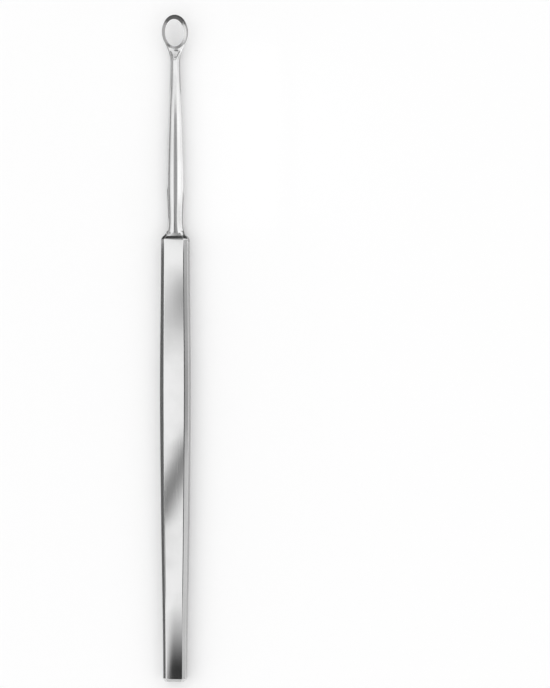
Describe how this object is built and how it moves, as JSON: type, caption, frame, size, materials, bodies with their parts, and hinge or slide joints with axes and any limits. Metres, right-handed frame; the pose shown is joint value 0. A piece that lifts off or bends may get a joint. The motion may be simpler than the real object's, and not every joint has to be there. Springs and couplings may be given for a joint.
{
  "type": "dermal curette",
  "caption": "Slim steel skin curette with a flat bevelled handle, a tapering round neck and a small oval loop with a sharp front edge.",
  "frame": {"origin": "on the flat back of the handle, at the middle of the overall length", "axes": "+Y along the instrument towards the loop, +X across it, +Z out of the front face, the side the cutting edge is on"},
  "size_m": [0.0064, 0.145, 0.0044],
  "materials": {
    "steel": "satin polish"
  },
  "bodies": {
    "root": {"handle": "steel", "loop": "steel"}
  },
  "joints": []
}
